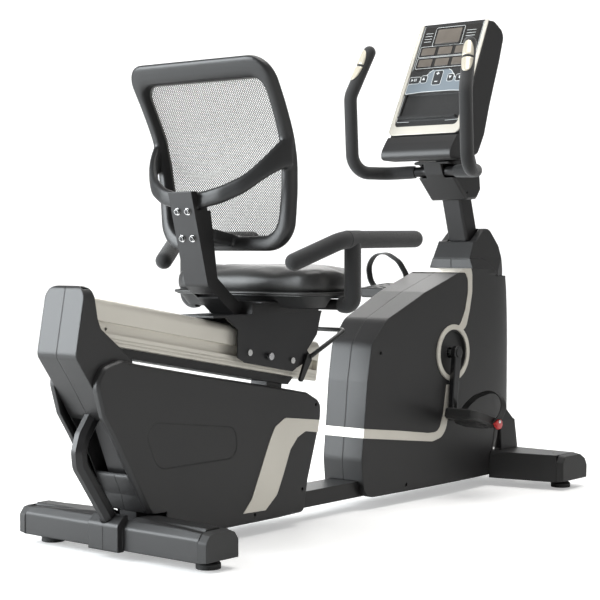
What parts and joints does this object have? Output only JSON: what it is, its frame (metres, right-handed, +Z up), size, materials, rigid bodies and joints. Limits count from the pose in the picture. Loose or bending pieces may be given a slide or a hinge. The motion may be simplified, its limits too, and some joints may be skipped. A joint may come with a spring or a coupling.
{
  "type": "recumbent exercise bike",
  "caption": "Recumbent exercise bike with mesh back seat sliding on an inclined rail, pedals in an enclosed drive housing, armrests, tall bent handlebar and tilted console",
  "frame": {"origin": "on the floor under the middle of the bounding box", "axes": "+X forward from the seat to the console, +Y the rider's left, +Z up"},
  "size_m": [1.7226, 0.582, 1.2977],
  "materials": {
    "frame_steel": "satin charcoal powder coat",
    "carriage_steel": "satin grey powder coat",
    "lever_steel": "satin black paint",
    "charcoal_plastic": "fine moulded texture, semi-matte",
    "cap_rubber": "matte",
    "champagne_trim": "satin metallic paint",
    "rail_aluminium": "grey anodised extrusion",
    "foam_grip": "soft foam",
    "pulse_plate": "satin metallic plate",
    "console_panel": "satin printed panel",
    "display_window": "smoked window",
    "circuit_board": "solder mask",
    "key_caps": "soft keys",
    "bearing_steel": "ground steel",
    "bolt_steel": "bright zinc",
    "crank_steel": "gloss black",
    "pulley_plastic": "moulded",
    "belt_rubber": "ribbed belt",
    "pedal_plastic": "moulded tread",
    "strap_rubber": "soft strap",
    "flywheel_iron": "machined",
    "roller_plastic": "acetal",
    "wheel_rubber": "hard rubber",
    "foot_rubber": "moulded rubber foot",
    "seat_shell": "moulded shell",
    "seat_cover": "soft padded cover",
    "back_plastic": "fine moulded texture",
    "mesh_fabric": "open mesh"
  },
  "bodies": {
    "frame": {"main_frame": "frame_steel", "rear_stabiliser_cover": "charcoal_plastic", "front_stabiliser_cover": "charcoal_plastic", "stabiliser_end_caps": "cap_rubber", "column_cover_left": "charcoal_plastic", "column_cover_right": "charcoal_plastic", "side_cover_left": "charcoal_plastic", "side_cover_right": "charcoal_plastic", "side_cover_stripes": "champagne_trim", "lift_handle": "frame_steel", "seat_rail": "rail_aluminium", "front_shroud_left": "charcoal_plastic", "front_shroud_right": "charcoal_plastic", "shroud_trims": "champagne_trim", "front_lower_cover": "charcoal_plastic", "neck_cover": "charcoal_plastic", "mast": "frame_steel", "console_bracket_cover": "charcoal_plastic", "handlebar": "frame_steel", "handlebar_grips": "foam_grip", "pulse_sensors": "pulse_plate", "console_housing": "charcoal_plastic", "console_face": "console_panel", "console_trim": "champagne_trim", "console_display": "display_window", "console_board": "circuit_board", "crank_bearings": "bearing_steel", "drive_belt": "belt_rubber"},
    "crank": {"crank_axle": "bearing_steel", "drive_pulley": "pulley_plastic", "crank_arm_left": "crank_steel", "crank_arm_right": "crank_steel"},
    "pedal_right_body": {"pedal_right": "pedal_plastic", "pedal_strap_right": "strap_rubber"},
    "pedal_left_body": {"pedal_left": "pedal_plastic", "pedal_strap_left": "strap_rubber"},
    "flywheel_body": {"flywheel": "flywheel_iron"},
    "seat": {"carriage": "carriage_steel", "seat_frame": "frame_steel", "armrest_frame": "frame_steel", "armrest_grips": "foam_grip", "seat_pan": "seat_shell", "seat_cushion": "seat_cover", "back_frame": "back_plastic", "back_mesh": "mesh_fabric", "seat_bolts": "bolt_steel"},
    "front_rollers": {"rollers_front": "roller_plastic"},
    "rear_rollers": {"rollers_rear": "roller_plastic"},
    "lever": {"release_lever": "lever_steel"},
    "plunger": {"lock_plunger": "bearing_steel"},
    "wheels": {"transport_wheels": "wheel_rubber"},
    "key_mode_body": {"key_mode": "key_caps"},
    "key_up_body": {"key_up": "key_caps"},
    "key_plus_minus_body": {"key_plus_minus": "key_caps"},
    "key_down_body": {"key_down": "key_caps"},
    "key_start_body": {"key_start": "key_caps"},
    "leveller_rear_left_body": {"leveller_rear_left": "foot_rubber"},
    "leveller_rear_right_body": {"leveller_rear_right": "foot_rubber"},
    "leveller_front_left_body": {"leveller_front_left": "foot_rubber"},
    "leveller_front_right_body": {"leveller_front_right": "foot_rubber"}
  },
  "joints": [
    {"name": "flywheel_spin", "type": "hinge", "parent": "frame", "child": "flywheel_body", "pos_m": [0.29, 0, 0.26], "axis": [0, 1, 0], "continuous": true},
    {"name": "crank_spin", "type": "hinge", "parent": "frame", "child": "crank", "pos_m": [0.497, 0, 0.385], "axis": [0, 1, 0], "continuous": true},
    {"name": "pedal_right_spin", "type": "hinge", "parent": "crank", "child": "pedal_right_body", "pos_m": [0.47628, -0.157, 0.21627], "axis": [0, 1, 0], "continuous": true},
    {"name": "pedal_left_spin", "type": "hinge", "parent": "crank", "child": "pedal_left_body", "pos_m": [0.51772, 0.157, 0.55373], "axis": [0, 1, 0], "continuous": true},
    {"name": "seat_slide", "type": "slide", "parent": "frame", "child": "seat", "axis": [-0.9851, 0, 0.1719], "range_m": [0, 0.335]},
    {"name": "front_rollers_turn", "type": "hinge", "parent": "seat", "child": "front_rollers", "pos_m": [-0.162, 0, 0.40081], "axis": [0, 1, 0], "continuous": true},
    {"name": "rear_rollers_turn", "type": "hinge", "parent": "seat", "child": "rear_rollers", "pos_m": [-0.318, 0, 0.42804], "axis": [0, 1, 0], "continuous": true},
    {"name": "release_lever_lift", "type": "hinge", "parent": "seat", "child": "lever", "pos_m": [-0.104, 0, 0.406], "axis": [0, -1, 0], "range_deg": [0, 12], "stiffness_Nm_per_rad": 2, "springref_deg": -11.46},
    {"name": "plunger_slide", "type": "slide", "parent": "seat", "child": "plunger", "axis": [0, -1, 0], "range_m": [0, 0.004]},
    {"name": "transport_wheels_spin", "type": "hinge", "parent": "frame", "child": "wheels", "pos_m": [0.84, 0, 0.033], "axis": [0, 1, 0], "continuous": true},
    {"name": "key_mode_press", "type": "slide", "parent": "frame", "child": "key_mode_body", "axis": [0.899, 0, -0.438], "range_m": [0, 0.001], "stiffness_N_per_m": 400, "springref_m": -0.001},
    {"name": "key_up_press", "type": "slide", "parent": "frame", "child": "key_up_body", "axis": [0.899, 0, -0.438], "range_m": [0, 0.001], "stiffness_N_per_m": 400, "springref_m": -0.001},
    {"name": "key_plus_minus_press", "type": "slide", "parent": "frame", "child": "key_plus_minus_body", "axis": [0.899, 0, -0.438], "range_m": [0, 0.001], "stiffness_N_per_m": 400, "springref_m": -0.001},
    {"name": "key_down_press", "type": "slide", "parent": "frame", "child": "key_down_body", "axis": [0.899, 0, -0.438], "range_m": [0, 0.001], "stiffness_N_per_m": 400, "springref_m": -0.001},
    {"name": "key_start_press", "type": "slide", "parent": "frame", "child": "key_start_body", "axis": [0.899, 0, -0.438], "range_m": [0, 0.001], "stiffness_N_per_m": 400, "springref_m": -0.001},
    {"name": "leveller_rear_left_turn", "type": "hinge", "parent": "frame", "child": "leveller_rear_left_body", "pos_m": [-0.657, 0.2425, 0], "axis": [0, 0, 1], "continuous": true},
    {"name": "leveller_rear_right_turn", "type": "hinge", "parent": "frame", "child": "leveller_rear_right_body", "pos_m": [-0.657, -0.2425, 0], "axis": [0, 0, 1], "continuous": true},
    {"name": "leveller_front_left_turn", "type": "hinge", "parent": "frame", "child": "leveller_front_left_body", "pos_m": [0.793, 0.2425, 0], "axis": [0, 0, 1], "continuous": true},
    {"name": "leveller_front_right_turn", "type": "hinge", "parent": "frame", "child": "leveller_front_right_body", "pos_m": [0.793, -0.2425, 0], "axis": [0, 0, 1], "continuous": true}
  ],
  "couplings": [
    {"joint": "crank_spin", "follows": "flywheel_spin", "ratio": 0.17391},
    {"joint": "front_rollers_turn", "follows": "seat_slide", "rad_per_m": -86.207},
    {"joint": "rear_rollers_turn", "follows": "seat_slide", "rad_per_m": -86.207},
    {"joint": "plunger_slide", "follows": "release_lever_lift", "m_per_rad": 0.018621}
  ]
}
